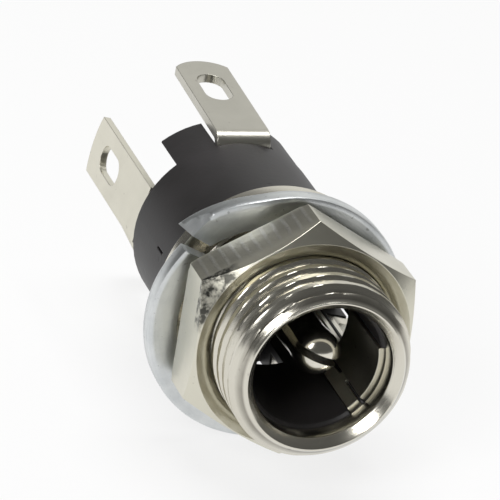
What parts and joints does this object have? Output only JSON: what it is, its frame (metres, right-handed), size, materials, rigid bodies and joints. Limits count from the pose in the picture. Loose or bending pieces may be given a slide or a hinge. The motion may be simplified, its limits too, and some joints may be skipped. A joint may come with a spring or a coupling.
{
  "type": "dc barrel jack",
  "caption": "Round threaded panel socket for a 5.5 mm barrel plug, with a nut, spring washer, black insulating housing and solder lugs.",
  "frame": {"origin": "on the bush's axis, in the plane of the flange's front face, where the panel seats", "axes": "+Y along the axis, from the mouth towards the solder lugs; +Z towards the centre pin's lug; +X to the right when looking into the mouth"},
  "size_m": [0.0114, 0.0214, 0.0114],
  "materials": {
    "bush_plating": "bright nickel plate on turned brass, lightly brushed",
    "nut_plating": "warm nickel plate with milling marks",
    "zinc_steel": "bluish zinc plate on spring steel",
    "black_housing": "moulded, satin",
    "pin_plating": "bright nickel plate",
    "lug_tin": "tinned sheet, satin",
    "spring_plating": "plated spring sheet, satin",
    "switch_plating": "plated spring sheet, satin"
  },
  "bodies": {
    "root": {"threaded_bush": "bush_plating", "hex_nut": "nut_plating", "lock_washer": "zinc_steel", "housing": "black_housing", "centre_pin": "pin_plating", "pin_lug": "lug_tin", "sleeve_contact": "spring_plating", "switch_contact": "switch_plating"}
  },
  "joints": []
}
